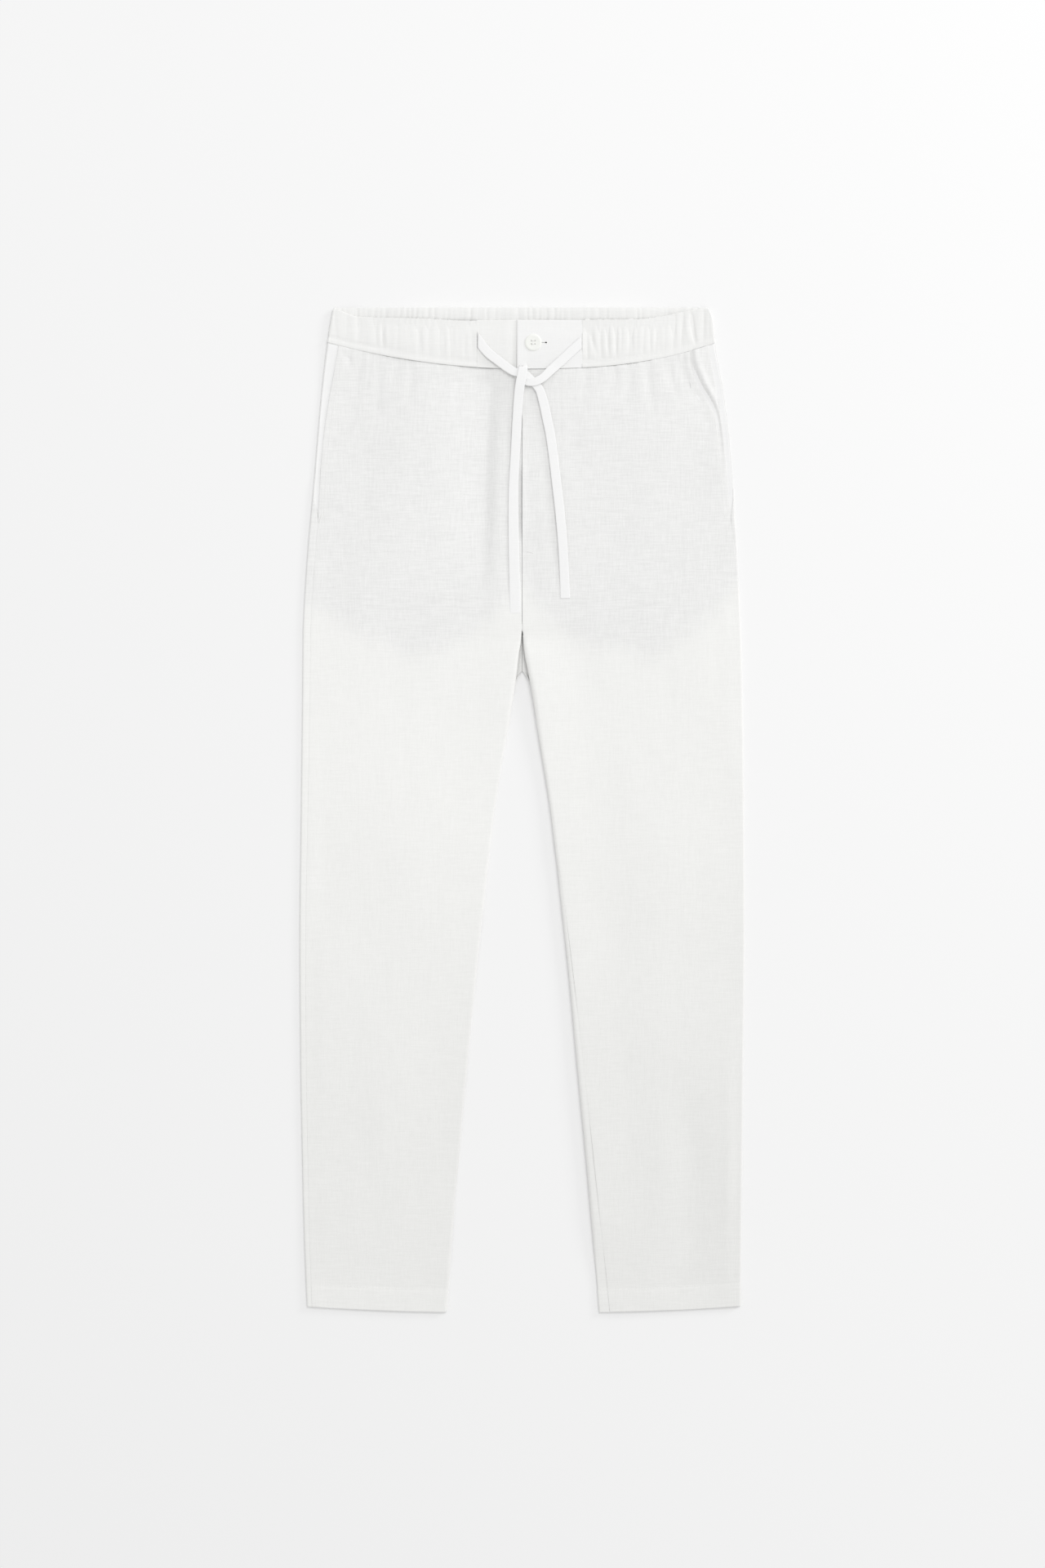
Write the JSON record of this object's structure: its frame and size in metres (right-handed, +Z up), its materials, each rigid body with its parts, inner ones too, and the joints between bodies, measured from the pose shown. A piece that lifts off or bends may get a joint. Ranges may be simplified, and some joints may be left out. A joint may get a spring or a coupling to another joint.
{
  "type": "linen drawstring trousers",
  "caption": "Straight tapered linen trousers laid flat, with a gathered elastic waistband, buttoned tab front, half-knotted drawstring, fly and slanted side pockets.",
  "frame": {"origin": "on the surface that the trousers lie on, under the middle of their outline", "axes": "+X towards the wearer's left leg, +Y from the hems to the waist, +Z up, out of the fronts"},
  "size_m": [0.4562, 1.0313, 0.0137],
  "materials": {
    "linen": "matt, plain-woven, slubbed off-white linen",
    "bag_lawn": "matt, thin off-white pocketing",
    "tape": "matt white woven cotton tape",
    "button": "satin off-white"
  },
  "bodies": {
    "root": {"front_left": "linen", "front_right": "linen", "back_left": "linen", "back_right": "linen", "pocket_facing_left": "linen", "pocket_facing_right": "linen", "pocket_bag_left": "bag_lawn", "pocket_bag_right": "bag_lawn", "fly_facing": "linen", "fly_extension": "linen", "waistband_elastic": "linen", "waistband_tab_left": "linen", "waistband_tab_right": "linen", "button": "button", "drawstring_left": "tape", "drawstring_right": "tape"}
  },
  "joints": []
}
